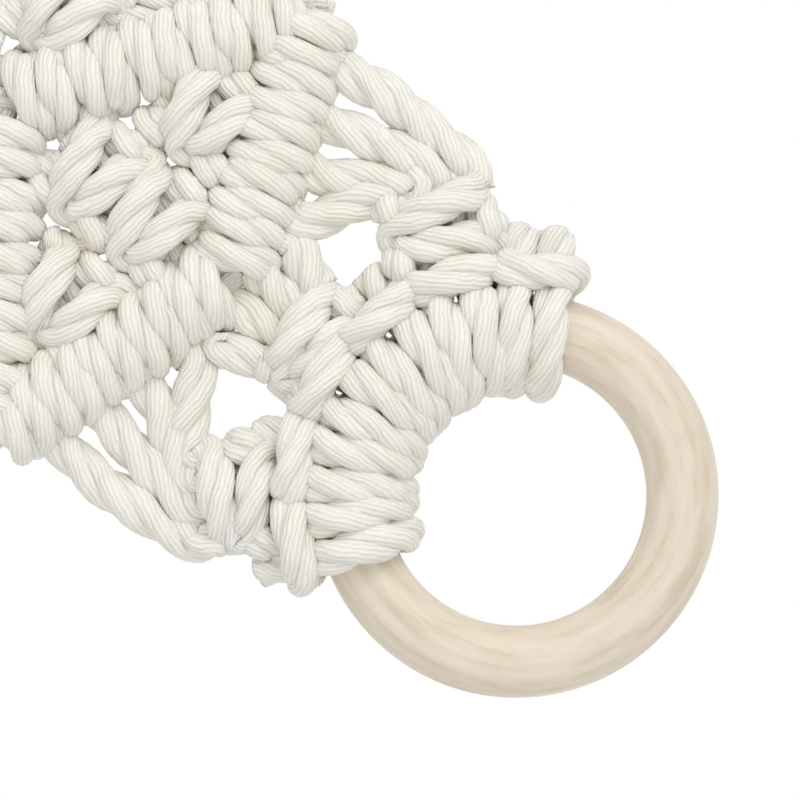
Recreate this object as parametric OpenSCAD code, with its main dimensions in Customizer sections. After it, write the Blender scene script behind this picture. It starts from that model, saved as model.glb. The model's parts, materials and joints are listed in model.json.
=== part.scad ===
// Hanging macrame planter: a wooden ring with six doubled cotton cords knotted on to it,
// a flat head panel with a knotted diamond, three arms, a net for a pot, and a tassel.
// Origin at the ring's inner top, where the hook bears. +Z up, +X across, -Y to the front.

/* [Ring] */
// Outer diameter of the wooden ring
ring_outer_d = 56; // [46:0.5:68]
// Thickness of the round stock that the ring is turned to
ring_stock_d = 10; // [8:0.5:12]

/* [Cord] */
// Diameter of one cotton cord where it hangs free
cord_d = 4.6; // [3.8:0.1:5.2]
// Thickness of the layer of cord round the ring's stock
loop_wall = 4.1; // [3.4:0.1:5]
// Angle that the six lark's heads take up on the ring, together
loops_deg = 133; // [120:1:140]

/* [Knots] */
// Width of one square knot of four cords
knot_w = 12.5; // [10:0.5:14]
// Height of the first row of square knots, under the ring
head_knot_h = 8; // [6:0.5:12]
// Height of a square knot below the diamond
row_knot_h = 10; // [8:0.5:14]
// Thickness of the knotted panel, front to back
knot_t = 8.6; // [7:0.2:9]
// Angle from the middle square knot to its neighbours in the first row
head_knot_deg = 37; // [36:0.5:42]

/* [Diamond] */
// Half of the diamond's width, to its side corners
diamond_half_w = 37; // [34:0.5:44]
// Drop from the diamond's top to its side corners
diamond_top_h = 12.5; // [9:0.5:15]
// Drop from the diamond's side corners to its foot
diamond_foot_h = 27; // [25:0.5:32]
// Diameter of a bar of double half hitches
bar_d = 10.4; // [9:0.2:11]
// Distance from the middle to the square knots beside it
side_knot_x = 16; // [14:0.5:17]

/* [Arms] */
// Distance between the tops of neighbouring arms
arm_pitch = 17; // [15:0.5:22]
// Drop of an arm from the panel to the rim of the pot
arm_drop = 273; // [200:1:340]
// Length of the free cords above the spiral
spiral_lead = 30; // [20:1:50]
// Length of the half-knot spiral
spiral_h = 70; // [50:1:90]
// Diameter of the half-knot spiral
spiral_d = 13; // [11:0.5:15]

/* [Pot net] */
// Diameter of the largest pot that the net is spread for
pot_d = 116; // [96:1:140]
// Height of the knot at the rim of the pot
rim_knot_h = 22; // [16:1:30]
// Diameter of the knots at the rim and in the net
net_knot_d = 14; // [12:0.5:16]
// Drop from the rim knots to the knots between the arms
net_drop = 56; // [44:1:70]
// Height of the knots between the arms
net_knot_h = 16; // [12:1:22]
// Diameter of a pair of net cords side by side
pair_d = 6.6; // [5.6:0.2:7.4]
// Drop from the net knots to the gathering under the pot
foot_drop = 54; // [44:1:66]

/* [Tassel] */
// Length of the cord wrapped round the gathered cords
wrap_h = 32; // [24:1:44]
// Diameter of the wrapped cord
wrap_d = 23; // [21:0.5:26]
// Length of the tassel below the wrap
tassel_h = 150; // [110:1:200]

/* [Hidden] */
$fn = 64;
// Gap left between neighbouring soft solids
gap = 0.3;
knot_edge_r = 2.4;
cord_pairs = 6;
arm_count = 3;
cotton = [0.93, 0.91, 0.86];
pale_wood = [0.86, 0.75, 0.60];

// Ring and lark's heads
ring_mid_r = (ring_outer_d - ring_stock_d) / 2;
ring_z = ring_stock_d - ring_outer_d / 2;
loop_r = ring_stock_d / 2 + gap + loop_wall;
loop_pitch_deg = loops_deg / cord_pairs;
loop_gap_deg = 1.3;
loop_span_deg = loop_pitch_deg - loop_gap_deg;

// First row of knots, and the fold under it. Drops are measured down from the ring's centre.
head_knot_in_r = ring_mid_r + loop_r + gap;
head_knot_out_r = head_knot_in_r + head_knot_h;
roll_r = 1.6;
strip_t = 2 * roll_r - 0.4;
fold_end = roll_r + gap;
panel_fold_drop = head_knot_out_r + fold_end;
strip_side_x = head_knot_out_r * sin(head_knot_deg);
strip_side_drop = head_knot_out_r * cos(head_knot_deg);

// Diamond
bar_r = bar_d / 2;
slope_top = atan(diamond_top_h / diamond_half_w);
slope_foot = atan(diamond_foot_h / diamond_half_w);
diamond_top_drop = panel_fold_drop + (fold_end + bar_r) / cos(slope_top);
diamond_corner_drop = diamond_top_drop + diamond_top_h;
diamond_foot_drop = diamond_corner_drop + diamond_foot_h;
corner_deg = slope_top + slope_foot;
foot_bar_start = (bar_r + gap + bar_r * cos(corner_deg)) / sin(corner_deg);
middle_top_drop = diamond_top_drop + knot_w / 2 * tan(slope_top) + bar_r / cos(slope_top) + gap;
middle_foot_drop = diamond_foot_drop - knot_w / 2 * tan(slope_foot) - bar_r / cos(slope_foot) - gap;
middle_knot_h = (middle_foot_drop - middle_top_drop - gap) / 2;
side_top_line = diamond_top_drop + side_knot_x * tan(slope_top);
side_foot_line = diamond_foot_drop - side_knot_x * tan(slope_foot);
side_knot_drop = (side_top_line * cos(slope_top) + side_foot_line * cos(slope_foot))
    / (cos(slope_top) + cos(slope_foot));
side_knot_r = (side_knot_drop - side_top_line) * cos(slope_top) - bar_r - gap;

// Row below the diamond, and the fold under it
low_side_r = 4.6;
low_side_drop = side_foot_line + (bar_r + gap + low_side_r) / cos(slope_foot);
low_middle_drop = diamond_foot_drop + bar_r / cos(slope_foot) + gap;
cradle_fold_drop = low_middle_drop + row_knot_h + 6;
strip_half_w = 5;

// Arms
top_knot_drop = cradle_fold_drop + 5.3;
top_knot_end = top_knot_drop + row_knot_h;
arm_start_drop = top_knot_end + 1.45;
arm_end_drop = arm_start_drop + arm_drop;
rim_drop = arm_end_drop + 1.45;
net_r = pot_d / 2 + net_knot_d / 2 + 1;
arm_azimuth = [210, 90, 330];
arm_top_x = [-arm_pitch, 0, arm_pitch];
arm_cord_offset = cord_d / 2 + 0.2;

// Net and gathering
net_start_drop = rim_drop + rim_knot_h;
net_knot_drop = net_start_drop + net_drop;
foot_start_drop = net_knot_drop + net_knot_h;
foot_end_drop = foot_start_drop + foot_drop;
neck_r = 6.5;
neck_h = 13;
neck_drop = foot_end_drop + 8;
pair_sides = 10;
foot_in_r = neck_r + gap + pair_d / 2;

// Route of the cords under the pot: share of the way out from the neck, and share of the drop
foot_route = [
    [1.00, 0.00], [1.00, 0.06], [0.97, 0.16], [0.89, 0.30], [0.75, 0.46],
    [0.55, 0.62], [0.34, 0.76], [0.15, 0.88], [0.03, 0.95], [0.00, 1.00]
];

// Tassel
wrap_top_drop = neck_drop + neck_r + gap;
tassel_top_drop = wrap_top_drop + wrap_h + gap;
inner_strands = 3;
outer_strands = 9;
strand_sides = 8;
inner_strand_r = (cord_d + gap) / 2 / sin(180 / inner_strands);
outer_strand_r = inner_strand_r + cord_d + gap;

// Route of a tassel strand: share of its length, and how far out it spreads
strand_route = [
    [0.00, 1.00], [0.06, 1.00], [0.13, 1.02], [0.20, 1.06], [0.28, 1.12], [0.36, 1.18],
    [0.44, 1.24], [0.52, 1.30], [0.60, 1.35], [0.68, 1.40], [0.76, 1.44], [0.84, 1.47],
    [0.92, 1.50], [1.00, 1.52]
];

lark_names = [for (i = [1 : cord_pairs]) str("lark_head_", i)];
strand_names = [for (i = [1 : inner_strands + outer_strands]) str("tassel_strand_", i)];
arm_names = ["left", "back", "right"];
net_names = ["front", "back_left", "back_right"];
head_knot_names = ["head_knot_left", "head_knot_middle", "head_knot_right"];
row_knot_names = ["row_knot_left", "row_knot_middle", "row_knot_right"];

// Height of a drop below the ring's centre
function z_at(drop) = ring_z - drop;

// A point at a radius and an azimuth round the hanging axis
function polar(r, azimuth, drop) = [r * cos(azimuth), r * sin(azimuth), z_at(drop)];

function unit(v) = v / norm(v);

// Direction of a route at one of its points
function heading(route, i) =
    unit(route[min(i + 1, len(route) - 1)] - route[max(i - 1, 0)]);

// A direction square to a heading, kept the same way along a route that isn't along X
function across(h, side) = unit(cross(h, side));

// A tube of one diameter swept along a route of points
module tube(route, d, sides, side) {
    count = len(route);
    rings = [
        for (i = [0 : count - 1])
            let (h = heading(route, i), a = across(h, side), b = cross(h, a))
            for (k = [0 : sides - 1])
                route[i] + d / 2 * (cos(360 * k / sides) * a + sin(360 * k / sides) * b)
    ];
    walls = [
        for (i = [0 : count - 2], k = [0 : sides - 1])
            let (n = (k + 1) % sides)
            for (face = [
                [i * sides + k, (i + 1) * sides + n, i * sides + n],
                [i * sides + k, (i + 1) * sides + k, (i + 1) * sides + n]
            ])
                face
    ];
    caps = [
        [for (k = [0 : sides - 1]) k],
        [for (k = [0 : sides - 1]) count * sides - 1 - k]
    ];
    polyhedron(points = rings, faces = concat(walls, caps));
}

// A block with round corners, seen from the front
module knot_block(w, h, t) {
    r = knot_edge_r;
    rotate([90, 0, 0])
    linear_extrude(t, center = true)
    union() {
        square([w - 2 * r, h], center = true);
        square([w, h - 2 * r], center = true);
        for (x = [-1, 1], y = [-1, 1])
            translate([x * (w / 2 - r), y * (h / 2 - r)])
            circle(r);
    }
}

// A flat strip of cords with the outline given as points of [x, drop]
module strip(outline) {
    translate([0, strip_t / 2, 0])
    rotate([90, 0, 0])
    linear_extrude(strip_t)
    polygon([for (p = outline) [p[0], z_at(p[1])]]);
}

// The round end of a strip of cords, on the line that the cords fold about
module fold_roll(x0, x1, drop) {
    translate([x0, 0, z_at(drop)])
    rotate([0, 90, 0])
    cylinder(h = x1 - x0, r = roll_r);
}

// A round knot seen from the front
module knot_disc(x, drop, r) {
    translate([x, 0, z_at(drop)])
    rotate([90, 0, 0])
    cylinder(h = knot_t, r = r, center = true);
}

module wooden_ring() {
    color(pale_wood)
    translate([0, 0, ring_z])
    rotate([90, 0, 0])
    rotate_extrude()
    translate([ring_mid_r, 0])
    circle(ring_stock_d / 2);
}

module lark_head(i) {
    place = i - (cord_pairs + 1) / 2;
    color(cotton)
    translate([0, 0, ring_z])
    rotate([90, 0, 0])
    rotate([0, 0, place * loop_pitch_deg - 90 - loop_span_deg / 2])
    rotate_extrude(angle = loop_span_deg)
    translate([ring_mid_r, 0])
    difference() {
        circle(loop_r);
        circle(ring_stock_d / 2 + gap);
    }
}

module head_knot(place) {
    color(cotton)
    translate([0, 0, ring_z])
    rotate([0, -place * head_knot_deg, 0])
    translate([0, 0, -head_knot_in_r - head_knot_h / 2])
    knot_block(knot_w, head_knot_h, knot_t);
}

// The cords between the first row of knots and the line where the panel folds
module head_cords() {
    half = knot_w / 2 * cos(head_knot_deg);
    rise = knot_w / 2 * sin(head_knot_deg);
    shift_x = gap * sin(head_knot_deg);
    shift_drop = gap * cos(head_knot_deg);
    x0 = strip_side_x - half + shift_x;
    x1 = strip_side_x + half + shift_x;
    color(cotton)
    fold_roll(-knot_w / 2, knot_w / 2, panel_fold_drop);
    for (side = [0, 1])
        color(cotton)
        mirror([side, 0, 0])
        union() {
            strip([
                [x0, strip_side_drop + rise + shift_drop],
                [x1, strip_side_drop - rise + shift_drop],
                [x1, panel_fold_drop],
                [x0, panel_fold_drop]
            ]);
            fold_roll(x0, x1, panel_fold_drop);
        }
}

// The cords between the fold and the diamond's upper bars
module panel_cords_upper() {
    half = knot_w / 2 * cos(head_knot_deg);
    start = panel_fold_drop + fold_end;
    lift = (bar_r + gap) / cos(slope_top);
    for (side = [0, 1])
        color(cotton)
        mirror([side, 0, 0])
        strip([
            [strip_side_x - half, start],
            [strip_side_x + half, start],
            [strip_side_x + half, diamond_top_drop + (strip_side_x + half) * tan(slope_top) - lift],
            [strip_side_x - half, diamond_top_drop + (strip_side_x - half) * tan(slope_top) - lift]
        ]);
}

// One upper bar of the diamond, with its round side corner; side 1 mirrors it to the left
module hitch_bar_top(side) {
    run = diamond_half_w / cos(slope_top);
    color(cotton)
    mirror([side, 0, 0])
    intersection() {
        translate([diamond_half_w, 0, z_at(diamond_corner_drop)])
        union() {
            sphere(bar_r);
            rotate([0, slope_top - 90, 0])
            cylinder(h = run + bar_d, r = bar_r);
        }
        translate([gap / 2, -bar_d, z_at(diamond_foot_drop)])
        cube([diamond_half_w + bar_d, 2 * bar_d, diamond_foot_drop]);
    }
}

// One lower bar of the diamond, from the inside of the side corner to the foot
module hitch_bar_foot(side) {
    run = diamond_half_w / cos(slope_foot);
    color(cotton)
    mirror([side, 0, 0])
    intersection() {
        translate([diamond_half_w, 0, z_at(diamond_corner_drop)])
        rotate([0, -90 - slope_foot, 0])
        translate([0, 0, foot_bar_start])
        cylinder(h = run + bar_d - foot_bar_start, r = bar_r);
        translate([gap / 2, -bar_d, z_at(diamond_foot_drop + 3 * bar_d)])
        cube([diamond_half_w + bar_d, 2 * bar_d, diamond_foot_drop + 3 * bar_d]);
    }
}

module diamond_knot_middle(row) {
    top = middle_top_drop + row * (middle_knot_h + gap);
    color(cotton)
    translate([0, 0, z_at(top + middle_knot_h / 2)])
    knot_block(knot_w, middle_knot_h, knot_t);
}

module diamond_knot_side(place) {
    color(cotton)
    knot_disc(place * side_knot_x, side_knot_drop, side_knot_r);
}

module row_knot(place) {
    color(cotton)
    if (place == 0)
        translate([0, 0, z_at(low_middle_drop + row_knot_h / 2)])
        knot_block(knot_w, row_knot_h, knot_t);
    else
        knot_disc(place * side_knot_x, low_side_drop, low_side_r);
}

// The cords between the lowest row of knots and the line where the arms fold
module panel_cords_lower() {
    for (place = [-1, 0, 1]) {
        x = place * side_knot_x;
        top = place == 0 ? low_middle_drop + row_knot_h + gap : low_side_drop + low_side_r + gap;
        color(cotton)
        union() {
            strip([
                [x - strip_half_w, top],
                [x + strip_half_w, top],
                [x + strip_half_w, cradle_fold_drop],
                [x - strip_half_w, cradle_fold_drop]
            ]);
            fold_roll(x - strip_half_w, x + strip_half_w, cradle_fold_drop);
        }
    }
}

// The first square knot of an arm, with the cords that run down to it from the fold
module arm_top_knot(arm) {
    x = arm_top_x[arm];
    color(cotton)
    union() {
        translate([x, 0, z_at(top_knot_drop + row_knot_h / 2)])
        knot_block(knot_w, row_knot_h, knot_t);
        strip([
            [x - strip_half_w, cradle_fold_drop + fold_end],
            [x + strip_half_w, cradle_fold_drop + fold_end],
            [x + strip_half_w, top_knot_drop + 1],
            [x - strip_half_w, top_knot_drop + 1]
        ]);
    }
}

// Turns +Z to the way that an arm runs, from its top
module along_arm(arm) {
    top = [arm_top_x[arm], 0, z_at(arm_start_drop)];
    foot = polar(net_r, arm_azimuth[arm], arm_end_drop);
    way = foot - top;
    translate(top)
    rotate([0, acos(way[2] / norm(way)), atan2(way[1], way[0])])
    children();
}

function arm_run(arm) =
    norm(polar(net_r, arm_azimuth[arm], arm_end_drop) - [arm_top_x[arm], 0, z_at(arm_start_drop)]);

// Four cords side by side along a stretch of an arm
module arm_cord_stretch(arm, start, end) {
    for (x = [-1, 1], y = [-1, 1])
        along_arm(arm)
        translate([x * arm_cord_offset, y * arm_cord_offset, start])
        cylinder(h = end - start, d = cord_d);
}

module arm_cords(arm) {
    color(cotton) {
        arm_cord_stretch(arm, 0, spiral_lead - gap);
        arm_cord_stretch(arm, spiral_lead + spiral_h + gap, arm_run(arm));
    }
}

module arm_spiral(arm) {
    color(cotton)
    along_arm(arm)
    translate([0, 0, spiral_lead])
    cylinder(h = spiral_h, d = spiral_d);
}

module rim_knot(arm) {
    color(cotton)
    translate(polar(net_r, arm_azimuth[arm], rim_drop + rim_knot_h))
    cylinder(h = rim_knot_h, d = net_knot_d);
}

// Two pairs of cords from a rim knot, one to the net knot on each side
module net_cords(arm) {
    steps = 10;
    straight = 0.08;
    start_deg = asin((pair_d / 2 + gap / 2) / net_r);
    turn = 180 / arm_count - 2 * start_deg;
    for (way = [-1, 1]) {
        route = [
            for (i = [0 : steps])
                let (s = i / steps)
                let (t = min(max((s - straight) / (1 - 2 * straight), 0), 1))
                let (ease = t * t * (3 - 2 * t))
                polar(
                    net_r,
                    arm_azimuth[arm] + way * (start_deg + turn * ease),
                    net_start_drop + gap + (net_drop - 2 * gap) * s
                )
        ];
        color(cotton)
        tube(route, pair_d, pair_sides, polar(1, arm_azimuth[arm] + way * 30, -ring_z));
    }
}

function net_azimuth(place) = [270, 150, 30][place];

module net_knot(place) {
    color(cotton)
    translate(polar(net_r, net_azimuth(place), net_knot_drop + net_knot_h))
    cylinder(h = net_knot_h, d = net_knot_d);
}

// Two pairs of cords from a net knot, under the pot to the gathering
module foot_cords(place) {
    for (way = [-1, 1]) {
        route = [
            for (p = foot_route)
                let (r = foot_in_r + p[0] * (net_r - foot_in_r))
                polar(
                    r,
                    net_azimuth(place) + way * asin((pair_d / 2 + gap / 2) / r),
                    foot_start_drop + gap + (foot_drop - gap) * p[1]
                )
        ];
        color(cotton)
        tube(route, pair_d, pair_sides, polar(1, net_azimuth(place) + 90, -ring_z));
    }
}

module gathered_neck() {
    color(cotton)
    translate([0, 0, z_at(neck_drop)])
    union() {
        sphere(neck_r);
        cylinder(h = neck_h, r = neck_r);
    }
}

module gathering_wrap() {
    color(cotton)
    translate([0, 0, z_at(wrap_top_drop + wrap_h)])
    cylinder(h = wrap_h, d = wrap_d);
}

module tassel_strand(i) {
    inner = i <= inner_strands;
    azimuth = inner ? 360 * i / inner_strands : 360 * (i - inner_strands) / outer_strands;
    radius = inner ? inner_strand_r : outer_strand_r;
    route = [for (p = strand_route) polar(radius * p[1], azimuth, tassel_top_drop + tassel_h * p[0])];
    color(cotton)
    tube(route, cord_d, strand_sides, [1, 0, 0]);
}

wooden_ring();
for (i = [1 : cord_pairs])
    lark_head(i);
for (i = [0 : 2])
    head_knot(i - 1);
head_cords();
hitch_bar_top(1);  // hitch_bar_top_left
hitch_bar_top(0);  // hitch_bar_top_right
hitch_bar_foot(1);  // hitch_bar_foot_left
hitch_bar_foot(0);  // hitch_bar_foot_right
diamond_knot_middle(0);  // diamond_knot_upper
diamond_knot_middle(1);  // diamond_knot_lower
diamond_knot_side(-1);  // diamond_knot_left
diamond_knot_side(1);  // diamond_knot_right
panel_cords_upper();
for (i = [0 : 2])
    row_knot(i - 1);
panel_cords_lower();
for (i = [0 : arm_count - 1]) {
    arm_top_knot(i);
    arm_cords(i);
    arm_spiral(i);
    rim_knot(i);
    net_cords(i);
    net_knot(i);
    foot_cords(i);
}
gathered_neck();
gathering_wrap();
for (i = [1 : inner_strands + outer_strands])
    tassel_strand(i);
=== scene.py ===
import json
import math
import bpy
import numpy as np
from mathutils import Matrix, Vector


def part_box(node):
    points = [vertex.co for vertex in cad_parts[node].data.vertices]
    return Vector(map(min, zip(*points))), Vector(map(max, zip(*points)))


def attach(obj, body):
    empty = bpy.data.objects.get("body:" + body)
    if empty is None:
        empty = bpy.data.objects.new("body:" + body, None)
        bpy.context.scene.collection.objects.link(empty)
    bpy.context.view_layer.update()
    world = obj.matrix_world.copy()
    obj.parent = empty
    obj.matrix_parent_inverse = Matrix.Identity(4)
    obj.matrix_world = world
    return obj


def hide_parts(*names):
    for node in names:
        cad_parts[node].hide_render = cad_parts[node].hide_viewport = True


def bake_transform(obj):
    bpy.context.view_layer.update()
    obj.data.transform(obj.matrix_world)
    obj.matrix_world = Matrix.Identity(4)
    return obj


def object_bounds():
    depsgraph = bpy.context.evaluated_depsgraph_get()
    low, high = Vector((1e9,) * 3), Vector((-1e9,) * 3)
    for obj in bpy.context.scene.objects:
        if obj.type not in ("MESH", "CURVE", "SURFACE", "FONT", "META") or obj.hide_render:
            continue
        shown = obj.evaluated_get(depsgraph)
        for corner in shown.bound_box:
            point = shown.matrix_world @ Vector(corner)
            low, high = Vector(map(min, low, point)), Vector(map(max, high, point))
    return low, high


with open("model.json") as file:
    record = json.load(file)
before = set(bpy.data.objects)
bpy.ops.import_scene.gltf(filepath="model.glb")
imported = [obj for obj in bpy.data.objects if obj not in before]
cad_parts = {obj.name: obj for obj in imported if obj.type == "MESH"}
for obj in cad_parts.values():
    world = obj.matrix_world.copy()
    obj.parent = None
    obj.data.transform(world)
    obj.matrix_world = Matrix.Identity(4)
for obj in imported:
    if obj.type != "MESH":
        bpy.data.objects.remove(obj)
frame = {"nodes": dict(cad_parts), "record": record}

cad_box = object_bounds()
MM = 0.001

# Cord: three plies laid round each other. Sizes are in millimetres.
CORD_D = 4.6
PLY_OFF = 0.21 * CORD_D
PLY_R = 0.315 * CORD_D
LAY = 21.0
SIDES = 12
STEP = 0.55
COARSE_STEP = 1.1


def middle(node):
    """Middle of a CAD node's box, in millimetres."""
    low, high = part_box(node)
    return np.array((low + high) / 2) / MM


def extent(node):
    """Size of a CAD node's box, in millimetres."""
    low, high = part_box(node)
    return np.array(high - low) / MM


def z_range(node):
    """Lowest and highest heights of a CAD node, in millimetres."""
    low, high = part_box(node)
    return low[2] / MM, high[2] / MM


def polar(r, degrees, z):
    a = math.radians(degrees)
    return np.array([r * math.cos(a), r * math.sin(a), z])


RING = middle("wooden_ring")
RING_R = extent("wooden_ring")[0] / 2
STOCK_R = extent("wooden_ring")[1] / 2
RING_MID_R = RING_R - STOCK_R
FRONT = np.array([0.0, -1.0, 0.0])
DOWN = np.array([0.0, 0.0, -1.0])
ACROSS = np.array([1.0, 0.0, 0.0])


# ---------------------------------------------------------------- camera

def make_camera():
    """Square on to the ring's plane, with the planter lying up and to the left of its ring."""
    turn_deg = 127.2
    seen_width = 110.7 * MM
    distance = 0.45
    target = Vector((-0.8 * MM, 0, -38.8 * MM))
    a = math.radians(turn_deg)
    right = Vector((math.cos(a), 0, math.sin(a)))
    up = Vector((-math.sin(a), 0, math.cos(a)))
    back = right.cross(up)
    data = bpy.data.cameras.new("camera")
    data.sensor_width = 36
    data.lens = data.sensor_width * distance / seen_width
    data.clip_start = 0.01
    data.clip_end = 20
    camera = bpy.data.objects.new("camera", data)
    spot = target + back * distance
    camera.matrix_world = Matrix((
        (right[0], up[0], back[0], spot[0]),
        (right[1], up[1], back[1], spot[1]),
        (right[2], up[2], back[2], spot[2]),
        (0, 0, 0, 1),
    ))
    bpy.context.scene.collection.objects.link(camera)
    bpy.context.scene.camera = camera


# ---------------------------------------------------------------- ropes

def smooth_path(points, step):
    """A round curve through the points, in even steps."""
    p = np.asarray(points, float)
    p = np.vstack([2 * p[0] - p[1], p, 2 * p[-1] - p[-2]])
    t = np.linspace(0, 1, 12, endpoint=False)[:, None]
    runs = []
    for i in range(1, len(p) - 2):
        a, b, c, d = p[i - 1], p[i], p[i + 1], p[i + 2]
        runs.append(0.5 * (
            2 * b + (c - a) * t + (2 * a - 5 * b + 4 * c - d) * t ** 2
            + (3 * b - a - 3 * c + d) * t ** 3
        ))
    dense = np.vstack(runs + [p[-2:-1]])
    arc = np.r_[0, np.cumsum(np.linalg.norm(np.diff(dense, axis=0), axis=1))]
    count = max(4, int(round(arc[-1] / step)) + 1)
    at = np.linspace(0, arc[-1], count)
    return np.stack([np.interp(at, arc, dense[:, k]) for k in range(3)], 1), at


def frames(points):
    """Two directions square to a path at each point, carried along without twist."""
    tangent = np.gradient(points, axis=0)
    tangent /= np.linalg.norm(tangent, axis=1)[:, None]
    start = np.cross(tangent[0], [0.37, 0.51, 0.78])
    side = [start / np.linalg.norm(start)]
    for t in tangent[1:]:
        n = side[-1] - t * np.dot(side[-1], t)
        side.append(n / np.linalg.norm(n))
    side = np.array(side)
    return side, np.cross(tangent, side)


class Piece:
    """One visible piece, gathered from ropes, that stands for CAD nodes."""

    def __init__(self, name, nodes, body=None, bend=None, seed=0):
        self.name = name
        self.nodes = nodes
        self.body = body
        self.bend = bend
        self.verts = []
        self.faces = []
        self.uvs = []
        self.count = 0
        self.random = np.random.default_rng(seed + sum(map(ord, name)))

    def rope(self, points, width=CORD_D, step=STEP, wander=0.15):
        """A three-ply cord along the points."""
        path, arc = smooth_path(points, step)
        rng = self.random
        phase = rng.uniform(0, 2 * np.pi, 6)
        for k in range(3):
            path[:, k] += wander * np.sin(arc / (4.1 + 1.3 * k) + phase[k])
        side, up = frames(path)
        scale = width / CORD_D * (1 + 0.03 * np.sin(arc / 3.7 + phase[3]))
        for ply in range(3):
            turn = phase[4] + 2 * np.pi * (ply / 3 + arc / LAY)
            radius = PLY_R * scale * (1 + 0.04 * np.sin(arc / 2.3 + phase[ply]))
            spot = path + (PLY_OFF * scale)[:, None] * (
                np.cos(turn)[:, None] * side + np.sin(turn)[:, None] * up
            )
            round_way = 2 * np.pi * np.arange(SIDES) / SIDES
            angle = round_way[None, :] + turn[:, None]
            ring = spot[:, None, :] + radius[:, None, None] * (
                np.cos(angle)[..., None] * side[:, None, :] + np.sin(angle)[..., None] * up[:, None, :]
            )
            self._tube(ring, arc)
        return path

    def _tube(self, ring, arc):
        rows = len(ring)
        base = self.count
        self.verts.append(ring.reshape(-1, 3))
        self.count += rows * SIDES
        for i in range(rows - 1):
            for k in range(SIDES):
                n = (k + 1) % SIDES
                self.faces.append((
                    base + i * SIDES + k, base + i * SIDES + n,
                    base + (i + 1) * SIDES + n, base + (i + 1) * SIDES + k,
                ))
                u0, u1 = k / SIDES, (k + 1) / SIDES
                self.uvs.append(((u0, arc[i]), (u1, arc[i]), (u1, arc[i + 1]), (u0, arc[i + 1])))
        for row, back in ((0, True), (rows - 1, False)):
            loop = [base + row * SIDES + k for k in range(SIDES)]
            self.faces.append(tuple(loop[::-1] if back else loop))
            self.uvs.append(tuple((k / SIDES, arc[row]) for k in range(SIDES)))

    def build(self, material):
        mesh = bpy.data.meshes.new(self.name)
        mesh.from_pydata((np.vstack(self.verts) * MM).tolist(), [], self.faces)
        layer = mesh.uv_layers.new(name="yarn")
        flat = [c for face in self.uvs for corner in face for c in corner]
        layer.data.foreach_set("uv", np.array(flat, np.float32))
        mesh.materials.append(material)
        mesh.shade_smooth()
        piece = bpy.data.objects.new(self.name, mesh)
        bpy.context.scene.collection.objects.link(piece)
        if self.bend:
            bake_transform(piece)
        else:
            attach(piece, self.body)
        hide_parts(*self.nodes)
        return piece


# ---------------------------------------------------------------- knots

# A square knot's working cords, as places across, towards the back, and down, from its middle
KNOT_LEFT = [
    (-6.2, 0, -6.5), (-5.2, -1.5, -4.4), (-2, -4.0, -3.2), (2, -4.0, -2.6), (5.2, -1.6, -1.5),
    (5.6, -1.5, 1.0), (2, -4.0, 2.4), (-2, -4.0, 3.0), (-5.0, -1.5, 3.8), (-5.8, 0.3, 6.5),
]
KNOT_RIGHT = [
    (6.2, 0, -6.5), (6.0, -2.6, -4.4), (4.8, 1.8, -1.6), (2, 4.0, -1.8), (-2, 4.0, -2.6),
    (-5, 1.5, -3.0), (-6.0, -2.2, -2.2), (-6.0, -1.6, -0.8), (-5.4, 0.6, 1.2), (-2, 4.0, 2.2),
    (2, 4.0, 2.8), (5.0, 1.5, 3.4), (5.8, -1.6, 3.9), (6.0, 0, 6.5),
]
KNOT_W = 12.5
KNOT_H = 10.0
FILLER_X = 1.9
KNOT_TAIL = 6.5
SHORT_TAIL = 3.0


def square_knot(piece, centre, down=DOWN, across=ACROSS, w=KNOT_W, h=KNOT_H, step=STEP, tail=KNOT_TAIL):
    """A square knot of four cords: two fillers, and two cords tied round them. tail is where they leave it."""
    back = np.cross(across, down)

    def place(p):
        drop = min(p[2], tail)
        return centre + across * p[0] * w / KNOT_W + back * p[1] + down * drop * h / KNOT_H

    for route in (KNOT_LEFT, KNOT_RIGHT):
        piece.rope([place(p) for p in route], width=1.14 * CORD_D, step=step)
    for side in (-1, 1):
        line = [place((side * FILLER_X, 0, s)) for s in (-6.5, -3, 0, 3, 6.5)]
        piece.rope(line, width=1.05 * CORD_D, step=step)


def hitch(piece, spot, along, above):
    """A double half hitch round a bar's leading cord, as two loops side by side."""
    loop_r = 4.1
    gap = 3.9
    turns = [
        (310, 6.6, 0.2), (270, 4.6, 0.1), (225, loop_r, 0), (180, loop_r, 0), (135, loop_r, 0),
        (90, loop_r, 0), (45, loop_r, 0.1), (0, loop_r, 0.4), (315, loop_r, 1.6), (270, loop_r, 2.8),
        (225, loop_r, gap), (180, loop_r, gap), (135, loop_r, gap), (90, loop_r, gap),
        (45, loop_r, gap - 0.1), (0, loop_r, gap - 0.3), (315, loop_r, gap - 1.2),
        (270, loop_r + 0.4, 2.2), (225, loop_r + 1.6, 2.0), (200, 7.0, 2.0),
    ]
    slant = 0.10 + 0.05 * piece.random.uniform(-1, 1)
    points = []
    for degrees, r, a in turns:
        t = math.radians(degrees)
        lift = r * math.cos(t)
        points.append(spot + along * (a - gap / 2 + slant * lift) + above * lift + FRONT * r * math.sin(t))
    piece.rope(points, width=1.14 * CORD_D, wander=0.1)


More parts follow.
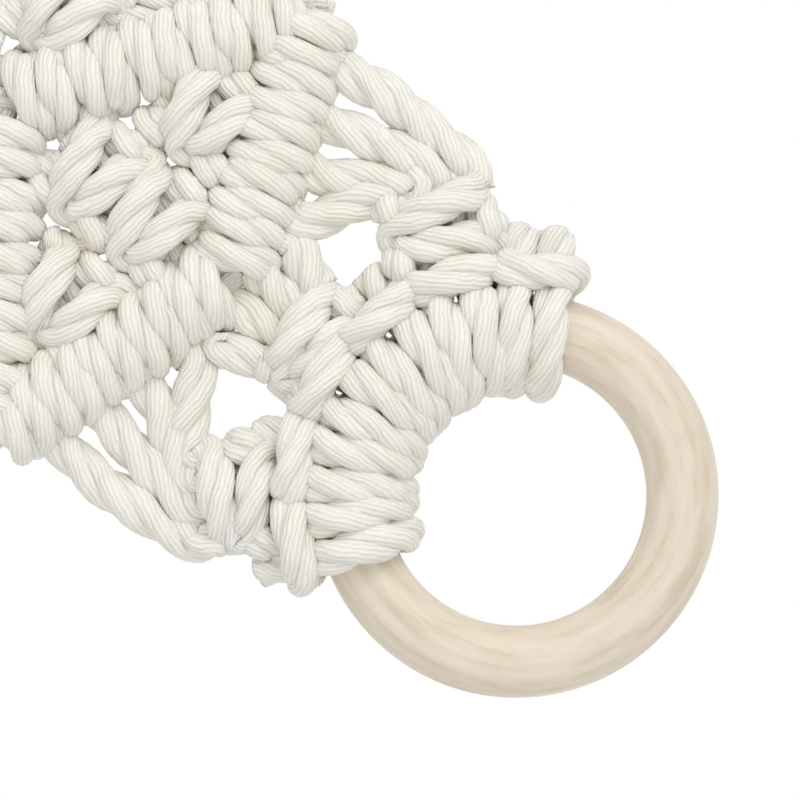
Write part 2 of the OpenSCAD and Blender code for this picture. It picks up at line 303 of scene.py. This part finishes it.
def lark_head(piece, degrees):
    """A doubled cord over the ring, with its bight across the front at the ring's outer edge."""
    a = math.radians(degrees)
    out = np.array([math.sin(a), 0, -math.cos(a)])
    along = np.array([math.cos(a), 0, math.sin(a)])
    centre = RING + out * RING_MID_R
    wrap_r = STOCK_R + 2.1
    half = [(22, 7.0, -2.7), (60, wrap_r, -2.6), (90, wrap_r, -2.3), (135, wrap_r, -2.0),
            (180, wrap_r, -1.9), (225, wrap_r, -2.1), (270, wrap_r, -2.4), (315, wrap_r, -3.2),
            (345, wrap_r, -3.9)]

    def place(t, r, y):
        return centre + out * r + along * t + FRONT * y

    route = [place(-2.6, wrap_r + 6.5, -0.5)]
    for degrees_round, r, t in half:
        b = math.radians(degrees_round)
        route.append(place(t, r * math.cos(b), r * math.sin(b)))
    route += [place(-5.0, wrap_r + 1, 1.0), place(-4.0, 8.0, 5.0)]
    middle_point = place(0, 8.0, 6.6)
    mirror = [p - 2 * along * np.dot(p - centre, along) for p in route[::-1]]
    piece.rope(route + [middle_point] + mirror, width=1.16 * CORD_D, wander=0.1)


# ---------------------------------------------------------------- materials

def node_tree(name):
    material = bpy.data.materials.new(name)
    material.use_nodes = True
    tree = material.node_tree
    return material, tree, tree.nodes["Principled BSDF"]


def add(tree, kind, **values):
    node = tree.nodes.new(kind)
    for key, value in values.items():
        setattr(node, key, value)
    return node


def maths(tree, operation, a, b):
    node = add(tree, "ShaderNodeMath", operation=operation)
    for socket, value in zip(node.inputs, (a, b)):
        if isinstance(value, (int, float)):
            socket.default_value = value
        else:
            tree.links.new(value, socket)
    return node.outputs[0]


def noise(tree, vector, scale, detail=3.0):
    node = add(tree, "ShaderNodeTexNoise")
    node.inputs["Scale"].default_value = scale
    node.inputs["Detail"].default_value = detail
    tree.links.new(vector, node.inputs["Vector"])
    return node.outputs["Fac"]


def ramp(tree, factor, stops):
    node = add(tree, "ShaderNodeValToRGB")
    while len(node.color_ramp.elements) < len(stops):
        node.color_ramp.elements.new(0.5)
    for element, (position, colour) in zip(node.color_ramp.elements, stops):
        element.position = position
        element.color = (*colour, 1)
    tree.links.new(factor, node.inputs[0])
    return node.outputs[0]


def bump(tree, height, distance, strength, normal=None):
    node = add(tree, "ShaderNodeBump")
    node.inputs["Distance"].default_value = distance
    node.inputs["Strength"].default_value = strength
    tree.links.new(height, node.inputs["Height"])
    if normal:
        tree.links.new(normal, node.inputs["Normal"])
    return node.outputs["Normal"]


def make_cotton():
    """Natural cotton: fine yarns that run round each ply, with loose fibres and a soft sheen; the colour has random
    tone plus painted warm shade in the grooves between yarns.
    """
    yarns = 13
    yarn_lay = 52.0
    material, tree, shader = node_tree("cotton_cord")
    uv = add(tree, "ShaderNodeUVMap", uv_map="yarn").outputs[0]
    split = add(tree, "ShaderNodeSeparateXYZ")
    tree.links.new(uv, split.inputs[0])
    place = add(tree, "ShaderNodeTexCoord").outputs["Object"]
    drift = noise(tree, place, 330, 2)
    turns = maths(tree, "MULTIPLY", split.outputs[0], yarns)
    run = maths(tree, "MULTIPLY", split.outputs[1], yarns / yarn_lay)
    phase = maths(tree, "ADD", turns, run)
    phase = maths(tree, "ADD", phase, maths(tree, "MULTIPLY", drift, 1.6))
    wave = maths(tree, "ABSOLUTE", maths(tree, "SINE", maths(tree, "MULTIPLY", phase, math.pi), 0), 0)
    fibres = noise(tree, place, 3500, 3)
    height = maths(tree, "ADD", wave, maths(tree, "MULTIPLY", fibres, 0.5))
    tint = noise(tree, place, 160, 3)
    # Colour index: three quarters random tone (tint), one quarter painted shade, so the grooves between yarns, where
    # wave is low, come out darker and warmer.
    tint_and_groove_shade = maths(tree, "ADD", maths(tree, "MULTIPLY", tint, 0.75), maths(tree, "MULTIPLY", wave, 0.25))
    colour = ramp(tree, tint_and_groove_shade, [
        (0.24, (0.84, 0.78, 0.65)), (0.46, (0.89, 0.86, 0.78)), (0.70, (0.91, 0.89, 0.83)),
    ])
    tree.links.new(colour, shader.inputs["Base Color"])
    tree.links.new(bump(tree, height, 0.0002, 0.8), shader.inputs["Normal"])
    shader.inputs["Roughness"].default_value = 0.92
    shader.inputs["Specular IOR Level"].default_value = 0.2
    shader.inputs["Subsurface Weight"].default_value = 0.2
    shader.inputs["Subsurface Radius"].default_value = (1.0, 0.8, 0.55)
    shader.inputs["Subsurface Scale"].default_value = 0.0012
    shader.inputs["Sheen Weight"].default_value = 0.25
    shader.inputs["Sheen Roughness"].default_value = 0.5
    return material


def make_wood():
    """Pale turned beech: soft growth bands with fine pores along the grain."""
    material, tree, shader = node_tree("pale_wood")
    place = add(tree, "ShaderNodeTexCoord").outputs["Object"]
    split = add(tree, "ShaderNodeSeparateXYZ")
    tree.links.new(place, split.inputs[0])
    x, y = split.outputs[0], split.outputs[1]
    z = maths(tree, "SUBTRACT", split.outputs[2], float(RING[2] * MM))
    radius = maths(tree, "SQRT", maths(tree, "ADD", maths(tree, "MULTIPLY", x, x), maths(tree, "MULTIPLY", z, z)), 0)
    angle = maths(tree, "ARCTAN2", x, z)
    lean = maths(tree, "MULTIPLY", maths(tree, "SINE", maths(tree, "MULTIPLY", angle, 1.0), 0), 0.0022)
    along = add(tree, "ShaderNodeCombineXYZ")
    tree.links.new(maths(tree, "MULTIPLY", angle, 0.0035), along.inputs[0])
    tree.links.new(maths(tree, "ADD", radius, lean), along.inputs[1])
    tree.links.new(y, along.inputs[2])
    bands = noise(tree, along.outputs[0], 620, 2)
    pores = noise(tree, along.outputs[0], 3600, 2)
    mix = maths(tree, "ADD", maths(tree, "MULTIPLY", bands, 0.8), maths(tree, "MULTIPLY", pores, 0.2))
    colour = ramp(tree, mix, [
        (0.30, (0.64, 0.53, 0.41)), (0.48, (0.73, 0.64, 0.52)), (0.68, (0.78, 0.70, 0.58)),
    ])
    tree.links.new(colour, shader.inputs["Base Color"])
    tree.links.new(bump(tree, mix, 0.0001, 0.3), shader.inputs["Normal"])
    shader.inputs["Roughness"].default_value = 0.55
    shader.inputs["Specular IOR Level"].default_value = 0.35
    return material


# ---------------------------------------------------------------- tassel

TASSEL_LENGTH = 0.15
INNER_STRANDS = 3
OUTER_STRANDS = 9
STRAND_GAP = 0.3
INNER_R = (CORD_D + STRAND_GAP) / 2 / math.sin(math.pi / INNER_STRANDS)
OUTER_R = INNER_R + CORD_D + STRAND_GAP
STRAND_ROUTE = [
    (0.00, 1.00), (0.06, 1.00), (0.13, 1.02), (0.20, 1.06), (0.28, 1.12), (0.36, 1.18),
    (0.44, 1.24), (0.52, 1.30), (0.60, 1.35), (0.68, 1.40), (0.76, 1.44), (0.84, 1.47),
    (0.92, 1.50), (1.00, 1.52),
]


def make_tassel(cotton):
    """Twelve free cord ends below the wrap, each a cord of its own."""
    top = z_range("tassel_strand_1")[1]
    for i in range(1, INNER_STRANDS + OUTER_STRANDS + 1):
        inner = i <= INNER_STRANDS
        azimuth = 360 * i / INNER_STRANDS if inner else 360 * (i - INNER_STRANDS) / OUTER_STRANDS
        radius = INNER_R if inner else OUTER_R
        route = [polar(radius * p[1], azimuth, top - p[0] * TASSEL_LENGTH / MM) for p in STRAND_ROUTE]
        piece = Piece(f"tassel_cord_{i}", [f"tassel_strand_{i}"], body="tassel")
        path = piece.rope(route, step=COARSE_STEP, wander=0.1)
        strand = piece.build(cotton)


# ---------------------------------------------------------------- head and panel

HEAD_SLIP_DEG = 4.2
HEAD_PITCH_DEG = 21.3
HEAD_KNOT_DEG = 37.0
HEAD_KNOT_SLIP = 2.0
MIDDLE_KNOT_LIFT = 1.2


def head_knot_place(name, side):
    """Middle of a knot of the first row, and its directions down and across."""
    a = math.radians(HEAD_KNOT_DEG * side)
    down = np.array([math.sin(a), 0, -math.cos(a)])
    across = np.array([math.cos(a), 0, math.sin(a)])
    slip = HEAD_KNOT_SLIP if side else -MIDDLE_KNOT_LIFT
    return middle(f"head_knot_{name}") + down * slip, down, across


def make_head(cotton):
    for i in range(1, 7):
        piece = Piece(f"lark_cord_{i}", [f"lark_head_{i}"], body="head")
        lark_head(piece, (i - 3.5) * HEAD_PITCH_DEG - HEAD_SLIP_DEG)
        piece.build(cotton)
    for name, side in (("left", -1), ("middle", 0), ("right", 1)):
        node = f"head_knot_{name}"
        centre, down, across = head_knot_place(name, side)
        piece = Piece(f"head_knot_cord_{name}", [node], body="head")
        square_knot(piece, centre, down, across, w=13.5, h=8.5, tail=KNOT_TAIL if side else SHORT_TAIL)
        piece.build(cotton)


def make_panel(cotton):
    top_low, top_high = z_range("hitch_bar_top_right")
    foot_low, foot_high = z_range("hitch_bar_foot_right")
    bar_r = extent("hitch_bar_top_right")[1] / 2
    corner_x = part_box("hitch_bar_top_right")[1][0] / MM - bar_r
    corner_z = top_low + bar_r
    slope = math.atan2(12.5, corner_x)
    top_z = corner_z + 12.5
    foot_z = corner_z - 27.0
    hitches = 5
    upper, lower = {}, {}
    for side, name in ((-1, "left"), (1, "right")):
        for ends, node, store in (
            ((np.array([0, 0, top_z]), np.array([side * corner_x, 0, corner_z])),
             f"hitch_bar_top_{name}", upper),
            ((np.array([0, 0, foot_z]), np.array([side * corner_x, 0, corner_z])),
             f"hitch_bar_foot_{name}", lower),
        ):
            start, end = ends
            run = end - start
            length = np.linalg.norm(run)
            along = run / length
            above = np.array([-along[2], 0, along[0]])
            if above[2] < 0:
                above = -above
            piece = Piece(f"hitch_cord_{node[10:]}", [node], body="panel")
            piece.rope([start - along * 2, start + run * 0.5, end + along * 1.5])
            spots = []
            first = 0.10 if "top" in node else 0.11
            for k in range(hitches):
                share = first + (0.96 - first) * (k + 0.15) / (hitches - 0.35)
                spot = start + run * share
                hitch(piece, spot, along, above)
                spots.append((spot, above))
            store[side] = spots
            piece.build(cotton)

    inner = {}
    for name in ("upper", "lower", "left", "right"):
        node = f"diamond_knot_{name}"
        centre = middle(node)
        piece = Piece(f"diamond_cord_{name}", [node], body="panel")
        small = name in ("left", "right")
        height = 11.0 if small else extent(node)[2]
        square_knot(piece, centre, w=11.5 if small else KNOT_W, h=height * 0.95)
        inner[name] = (centre, height)
        if name == "upper":
            for side in (-1, 1):
                for k, x in ((0, FILLER_X), (1, 6.2)):
                    spot = upper[side][k][0]
                    end = centre + np.array([side * x, 0, height * 0.6])
                    piece.rope([spot + DOWN * 4 + FRONT * -1, (spot + DOWN * 5 + end) / 2, end + DOWN * 2])
        if small:
            side = -1 if name == "left" else 1
            for k, x in ((2, -1.9), (3, 1.9), (4, 6.0)):
                spot = upper[side][k][0]
                end = centre + np.array([side * x, 0, 5.5])
                piece.rope([spot + DOWN * 4 - FRONT, (spot + DOWN * 4 + end) / 2, end + DOWN * 2])
            for k, x in ((2, -1.9), (3, 1.9), (4, 6.0)):
                spot = lower[side][k][0]
                end = centre + np.array([side * x, 0, -5.5])
                piece.rope([end - DOWN * 2, (spot - DOWN * 4 + end) / 2, spot - DOWN * 4 - FRONT])
        if name == "lower":
            for side in (-1, 1):
                side_name = "left" if side < 0 else "right"
                other = middle(f"diamond_knot_{side_name}")
                end = centre + np.array([side * 6.2, 0, height * 0.55])
                start = other + np.array([-side * 5.8, 0, -4])
                piece.rope([start, (start + end) / 2, end + DOWN * 2])
                for k, x in ((0, FILLER_X), (1, 6.2)):
                    spot = lower[side][k][0]
                    start = centre + np.array([side * x, 0, -height * 0.55])
                    piece.rope([start - DOWN * 2, (spot - DOWN * 4 + start) / 2, spot - DOWN * 4 - FRONT])
        piece.build(cotton)
    make_fold_cords(cotton, upper)
    make_low_row(cotton, lower)


FREE_D = 1.28 * CORD_D
# How far each cord of a side knot bows outward on its way to its hitch on the bar
FAN_BOW = {4: 2.2, 3: 0.8, 2: -0.8, 1: -3.0}


def make_fold_cords(cotton, upper):
    """The cords from the first row of knots down to the upper bars, over the panel's fold."""
    fold_z = FOLDS["panel_fold"]
    piece = Piece(
        "fold_cords", ["head_cords", "panel_cords_upper"],
        bend=("head", "panel", fold_z + 5, fold_z - 7),
    )
    for side, name in ((-1, "left"), (1, "right")):
        knot, down, across = head_knot_place(name, side)
        for k, x in ((4, 6.0), (3, 1.9), (2, -1.9), (1, -6.0)):
            spot = upper[side][k][0]
            start = knot + across * side * x + down * 3.5
            mid = (start + spot) / 2 + ACROSS * side * FAN_BOW[k]
            piece.rope([start, start + down * 3.5, mid, spot - DOWN * 5.5 - FRONT * 0.5], width=FREE_D)
        knot = head_knot_place("middle", 0)[0]
        for x, k in ((6.0, 0), (1.9, 0)):
            spot = upper[side][k][0] + ACROSS * side * (x - 3)
            start = knot + ACROSS * side * x + DOWN * 3.5
            bow = ACROSS * side * (2.2 if x > FILLER_X else 0)
            piece.rope([start, (start + spot) / 2 + bow, spot - DOWN * 4.5], width=FREE_D)
    piece.build(cotton)


def make_low_row(cotton, lower):
    """The lowest row of square knots, and the cords that run on from it to the arms."""
    for name, side in (("left", -1), ("middle", 0), ("right", 1)):
        node = f"row_knot_{name}"
        centre = middle(node)
        height = 10.0
        piece = Piece(f"row_knot_cord_{name}", [node], body="panel")
        square_knot(piece, centre, w=KNOT_W if side == 0 else 11.5, h=height)
        if side:
            for k, x in ((4, 6.0), (3, 1.9), (2, -1.9), (1, -6.0)):
                spot = lower[side][k][0]
                end = centre + np.array([side * x, 0, 5.5])
                piece.rope([spot + DOWN * 4 - FRONT, (spot + DOWN * 4 + end) / 2, end + DOWN * 2])
        else:
            for way in (-1, 1):
                spot = lower[way][0][0]
                end = centre + np.array([way * 1.9, 0, 5.5])
                piece.rope([spot + DOWN * 3 - FRONT, (spot + DOWN * 4 + end) / 2, end + DOWN * 2])
        piece.build(cotton)
    fold_z = FOLDS["arms_fold"]
    piece = Piece("row_cords", ["panel_cords_lower"], bend=("panel", "arm_tops", fold_z + 6, fold_z - 5.5))
    for row, arm in (("left", "left"), ("middle", "back"), ("right", "right")):
        top = middle(f"row_knot_{row}")
        end = middle(f"arm_top_knot_{arm}")
        knot_top = z_range(f"arm_top_knot_{arm}")[1]
        for x in (-5.4, -1.9, 1.9, 5.4):
            a = top + np.array([x, 0, -4.0])
            c = np.array([end[0] + x, 0, knot_top - 5.5])
            piece.rope([a, a + DOWN * 4, (a + c) / 2 + DOWN * 2, c])
    piece.build(cotton)


# ---------------------------------------------------------------- arms, net and gathering

FOLDS = {}
ARMS = {"left": 210, "back": 90, "right": 330}
NETS = {"front": 270, "back_left": 150, "back_right": 30}
NET_R = 66.0
SPIRAL_LEAD = 30.0
SPIRAL_H = 70.0
PAIR_OFF = 1.9


def arm_line(arm):
    low, high = z_range(f"arm_cords_{arm}")
    top_x = middle(f"arm_top_knot_{arm}")[0]
    top = np.array([top_x, 0, high])
    foot = polar(NET_R, ARMS[arm], low)
    return top, foot


def make_arms(cotton):
    for arm, azimuth in ARMS.items():
        top, foot = arm_line(arm)
        run = np.linalg.norm(foot - top)
        way = (foot - top) / run
        side = np.cross(way, [0, 1, 0])
        side /= np.linalg.norm(side)
        other = np.cross(way, side)
        knot = Piece(f"arm_top_cord_{arm}", [f"arm_top_knot_{arm}"], body="arm_tops")
        low, high = z_range(f"arm_top_knot_{arm}")
        square_knot(knot, np.array([top[0], 0, low + 5.0]), step=COARSE_STEP)
        knot.build(cotton)

        cords = Piece(
            f"arm_cord_{arm}", [f"arm_cords_{arm}"],
            bend=("arm_tops", "cradle", top[2] + 1.4, top[2] - SPIRAL_LEAD),
        )
        for a, b in ((-1, -1), (1, -1), (-1, 1), (1, 1)):
            off = side * a * 2.4 + other * b * 2.4
            lead = [top - way * 4 + off * 0.8, top + way * 8 + off * 1.15,
                    top + way * 20 + off * 1.1, top + way * (SPIRAL_LEAD + 4) + off * 0.6]
            cords.rope(lead, step=COARSE_STEP)
            start = SPIRAL_LEAD + SPIRAL_H - 4
            rest = [top + way * (start + (run + 5 - start) * t) + off * (0.6 + 0.5 * math.sin(math.pi * t))
                    for t in (0, 0.12, 0.35, 0.6, 0.85, 1)]
            cords.rope(rest, step=COARSE_STEP)
        cords.build(cotton)

        spiral = Piece(f"arm_spiral_cord_{arm}", [f"arm_spiral_{arm}"], body="cradle")
        half_knots = 16
        for k in range(2):
            points = []
            for n in range(half_knots * 8 + 1):
                t = n / (half_knots * 8)
                turn = math.pi * k + 2 * math.pi * half_knots / 2 * t
                r = 4.3
                points.append(top + way * (SPIRAL_LEAD + SPIRAL_H * t)
                              + r * (math.cos(turn) * side + math.sin(turn) * other))
            spiral.rope(points, step=COARSE_STEP, wander=0.05)
        for k in (-1, 1):
            points = [top + way * (SPIRAL_LEAD - 2 + (SPIRAL_H + 4) * t) + side * k * 2.0 for t in (0, 0.5, 1)]
            spiral.rope(points, step=COARSE_STEP)
        spiral.build(cotton)

        make_rim(cotton, arm, azimuth)


def make_rim(cotton, arm, azimuth):
    low, high = z_range(f"rim_knot_{arm}")
    a = math.radians(azimuth + 90)
    across = np.array([math.cos(a), math.sin(a), 0])
    piece = Piece(f"rim_cord_{arm}", [f"rim_knot_{arm}"], body="cradle")
    half = (high - low) / 2
    for z in (high - half / 2, low + half / 2):
        square_knot(piece, polar(NET_R, azimuth, z), DOWN, across, w=13, h=half, step=COARSE_STEP)
    piece.build(cotton)


def pair_along(piece, route, turns):
    """Two cords side by side along a route, laid loosely round each other."""
    path, arc = smooth_path(route, 4.0)
    side, up = frames(path)
    share = arc / arc[-1]
    for k in (0, math.pi):
        angle = k + 2 * math.pi * turns * share
        off = PAIR_OFF * (np.cos(angle)[:, None] * side + np.sin(angle)[:, None] * up)
        piece.rope(path + off, step=COARSE_STEP, width=0.92 * CORD_D)


FOOT_ROUTE = [
    (1.00, 0.00), (1.00, 0.06), (0.97, 0.16), (0.89, 0.30), (0.75, 0.46),
    (0.55, 0.62), (0.34, 0.76), (0.15, 0.88), (0.03, 0.95), (0.00, 1.00),
]
FOOT_IN_R = 10.1
PAIR_HALF = 3.45


def make_net(cotton):
    for arm, azimuth in ARMS.items():
        low, high = z_range(f"net_cords_{arm}")
        piece = Piece(f"net_cord_{arm}", [f"net_cords_{arm}"], body="cradle")
        start_deg = math.degrees(math.asin(PAIR_HALF / NET_R))
        turn = 60 - 2 * start_deg
        for way in (-1, 1):
            route = []
            for i in range(11):
                s = i / 10
                t = min(max((s - 0.08) / 0.84, 0), 1)
                ease = t * t * (3 - 2 * t)
                route.append(polar(NET_R, azimuth + way * (start_deg + turn * ease), high + 3 - (high - low + 6) * s))
            pair_along(piece, route, 0.5)
        piece.build(cotton)
    for net, azimuth in NETS.items():
        low, high = z_range(f"net_knot_{net}")
        a = math.radians(azimuth + 90)
        across = np.array([math.cos(a), math.sin(a), 0])
        piece = Piece(f"net_knot_cord_{net}", [f"net_knot_{net}"], body="cradle")
        half = (high - low) / 2
        for z in (high - half / 2, low + half / 2):
            square_knot(piece, polar(NET_R, azimuth, z), DOWN, across, w=13, h=half, step=COARSE_STEP)
        piece.build(cotton)
        low, high = z_range(f"foot_cords_{net}")
        piece = Piece(f"foot_cord_{net}", [f"foot_cords_{net}"], body="cradle")
        for way in (-1, 1):
            route = []
            for out, drop in FOOT_ROUTE:
                r = FOOT_IN_R + out * (NET_R - FOOT_IN_R)
                turn = way * math.degrees(math.asin(PAIR_HALF / r))
                route.append(polar(r, azimuth + turn, high + 2 - (high - low + 2) * drop))
            pair_along(piece, route, 0.5)
        piece.build(cotton)


def make_gathering(cotton):
    foot_z = z_range("foot_cords_front")[0]
    wrap_low, wrap_high = z_range("gathering_wrap")
    neck = Piece("gathered_cords", ["gathered_neck"], bend=("cradle", "tassel", foot_z - 2, wrap_high))
    for k in range(12):
        azimuth = 30 * k + 15
        neck.rope([
            polar(10.4, azimuth, foot_z + 5), polar(9.4, azimuth, foot_z - 1),
            polar(7.9, azimuth, foot_z - 7), polar(7.6, azimuth, wrap_high - 3),
        ], step=COARSE_STEP)
    for k in range(3):
        neck.rope([polar(3, 120 * k, foot_z - 1), polar(3, 120 * k, wrap_high - 3)], step=COARSE_STEP)
    neck.build(cotton)
    wrap = Piece("wrap_cord", ["gathering_wrap"], body="tassel")
    radius = extent("gathering_wrap")[0] / 2 - CORD_D / 2
    turns = int((wrap_high - wrap_low - CORD_D) / (CORD_D * 0.98))
    points = []
    for n in range(turns * 16 + 1):
        t = n / (turns * 16)
        z = wrap_high - CORD_D / 2 - (wrap_high - wrap_low - CORD_D) * t
        points.append(polar(radius, 360 * turns * t, z))
    wrap.rope(points, step=COARSE_STEP, wander=0.05)
    for k in range(12):
        azimuth = 30 * k
        wrap.rope([polar(6.4, azimuth, wrap_high - 1), polar(6.4, azimuth, wrap_low + 1)], step=4)
    wrap.build(cotton)


# ---------------------------------------------------------------- stage and light

def area_light(name, spot, target, size, power):
    data = bpy.data.lights.new(name, "AREA")
    data.energy = power
    data.size = size
    lamp = bpy.data.objects.new(name, data)
    way = Vector(target) - Vector(spot)
    lamp.location = spot
    lamp.rotation_euler = way.to_track_quat("-Z", "Y").to_euler()
    bpy.context.scene.collection.objects.link(lamp)


def seen_directly(tree):
    """1 where the camera, a reflection or a clear part looks, and 0 for the light that falls on things."""
    path = add(tree, "ShaderNodeLightPath")
    seen = maths(tree, "MAXIMUM", path.outputs["Is Camera Ray"], path.outputs["Is Glossy Ray"])
    return maths(tree, "MAXIMUM", seen, path.outputs["Is Transmission Ray"])


def make_stage():
    floor_z = cad_box[0][2] - 0.001
    mesh = bpy.data.meshes.new("floor")
    half = 4.0
    corners = [(-half, -half, floor_z), (half, -half, floor_z), (half, half, floor_z), (-half, half, floor_z)]
    mesh.from_pydata(corners, [], [(0, 1, 2, 3)])
    material, tree, shader = node_tree("floor_paint")
    shader.inputs["Base Color"].default_value = (0.86, 0.86, 0.86, 1)
    shader.inputs["Roughness"].default_value = 0.9
    shader.inputs["Emission Color"].default_value = (1, 1, 1, 1)
    tree.links.new(maths(tree, "MULTIPLY", seen_directly(tree), 0.28), shader.inputs["Emission Strength"])
    mesh.materials.append(material)
    floor = bpy.data.objects.new("floor", mesh)
    bpy.context.scene.collection.objects.link(floor)


def make_light():
    area_light("key", (-0.75, -0.8, -0.25), (0, 0, -0.06), 0.7, 5.0)
    area_light("fill", (0.8, -0.9, 0.35), (0, 0, -0.2), 1.2, 2.5)
    area_light("back", (0.1, 1.1, 0.3), (0, 0, -0.3), 1.2, 4)
    world = bpy.data.worlds.new("world")
    bpy.context.scene.world = world
    world.use_nodes = True
    tree = world.node_tree
    background = tree.nodes["Background"]
    ambient = 0.72
    strength = maths(tree, "ADD", maths(tree, "MULTIPLY", seen_directly(tree), 1 - ambient), ambient)
    background.inputs["Color"].default_value = (1, 1, 1, 1)
    tree.links.new(strength, background.inputs["Strength"])
    bpy.context.scene.view_settings.view_transform = "Standard"


for joint in frame["record"]["behaviour"]["joints"]:
    FOLDS[joint["name"]] = joint["pos_m"][2] / MM

make_camera()
cotton = make_cotton()
make_tassel(cotton)
make_head(cotton)
make_panel(cotton)
make_arms(cotton)
make_net(cotton)
make_gathering(cotton)

ring = frame["nodes"]["wooden_ring"]
ring.data.materials.clear()
ring.data.materials.append(make_wood())
ring.data.shade_smooth()

make_stage()
make_light()
